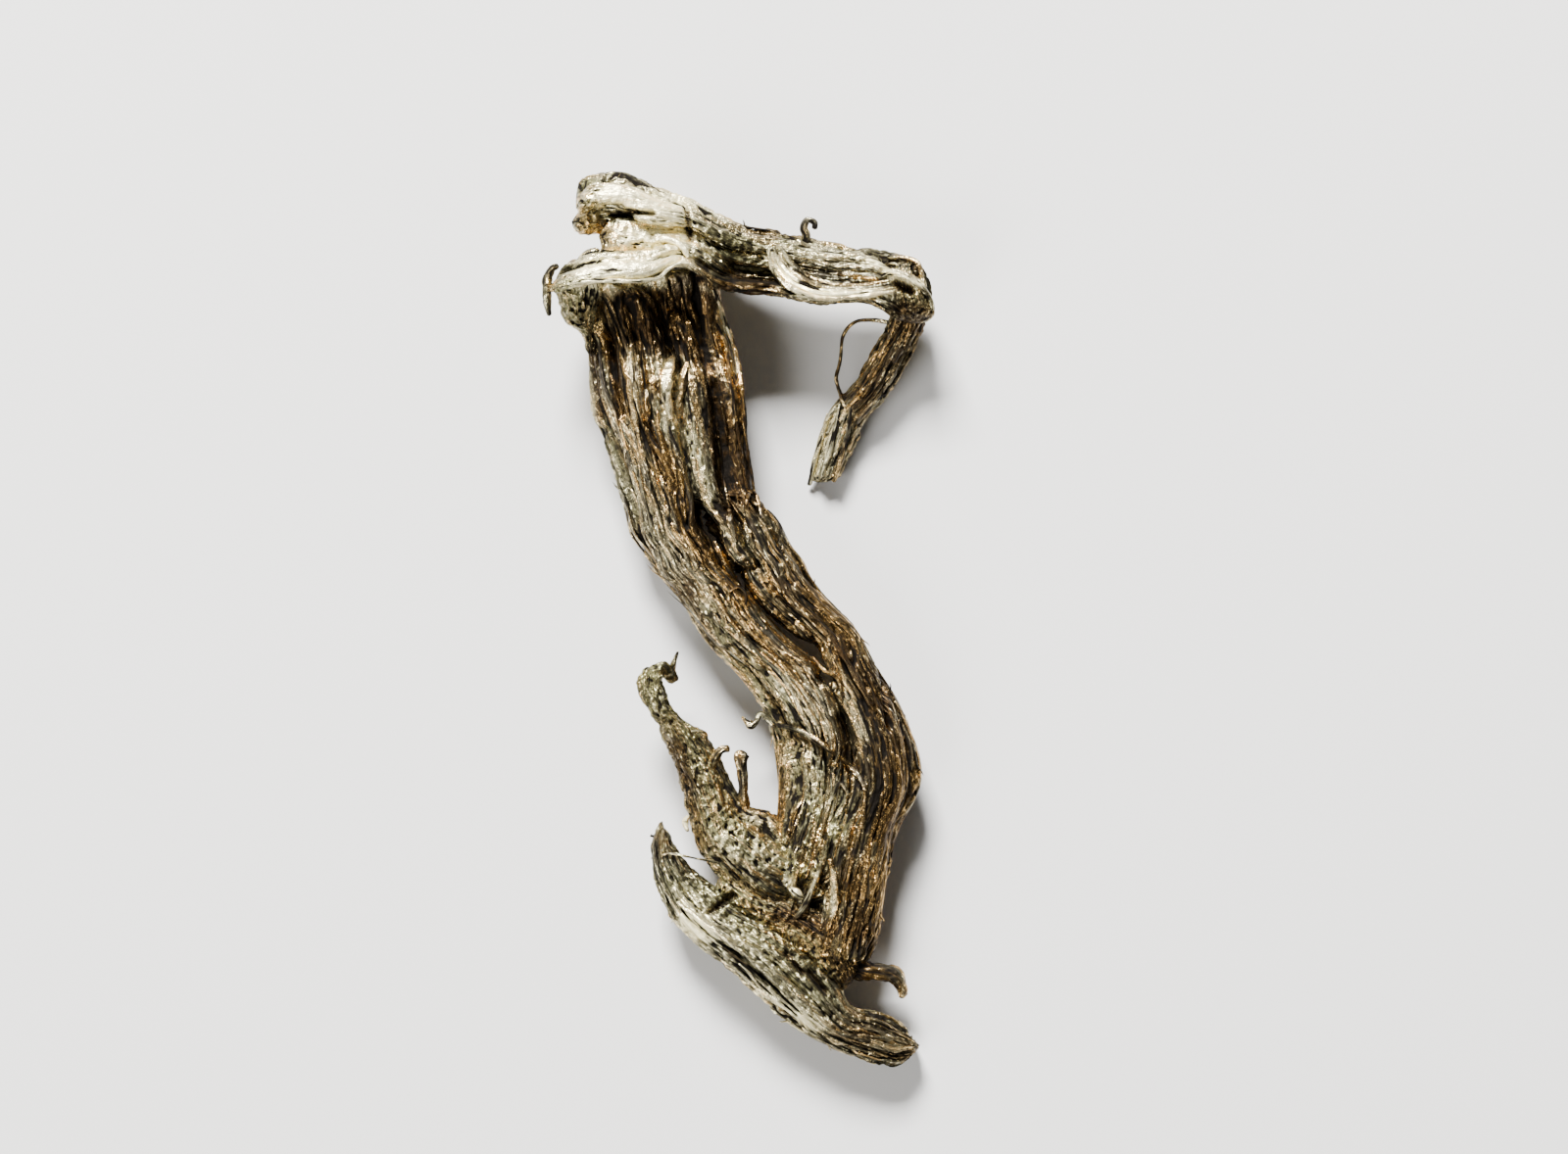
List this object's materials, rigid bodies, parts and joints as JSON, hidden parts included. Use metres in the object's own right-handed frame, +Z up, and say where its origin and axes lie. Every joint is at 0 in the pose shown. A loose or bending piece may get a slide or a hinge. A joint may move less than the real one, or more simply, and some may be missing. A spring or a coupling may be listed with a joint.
{
  "type": "native silver specimen",
  "caption": "Loose S-shaped bundle of fine silver wires: a folded head and arm across its top, a hanging wisp, a horn and a thick lobe at its foot.",
  "frame": {"origin": "centre of the lying specimen's outline, on the surface it rests on", "axes": "+X to the right across the specimen, +Y along it towards the head, +Z up from the surface it lies on"},
  "size_m": [0.0197, 0.0457, 0.008],
  "materials": {
    "bright_silver": "native silver, pale and ivory-bright, striated by its wires",
    "tarnished_silver": "native silver under a gold to copper-brown tarnish, striated by its wires",
    "grey_silver": "native silver with a steel-grey tarnish, striated by its wires"
  },
  "bodies": {
    "root": {"stem": "tarnished_silver", "top_arm": "bright_silver", "hanging_bundle": "tarnished_silver", "left_horn": "tarnished_silver", "lower_lobe": "grey_silver"}
  },
  "joints": []
}
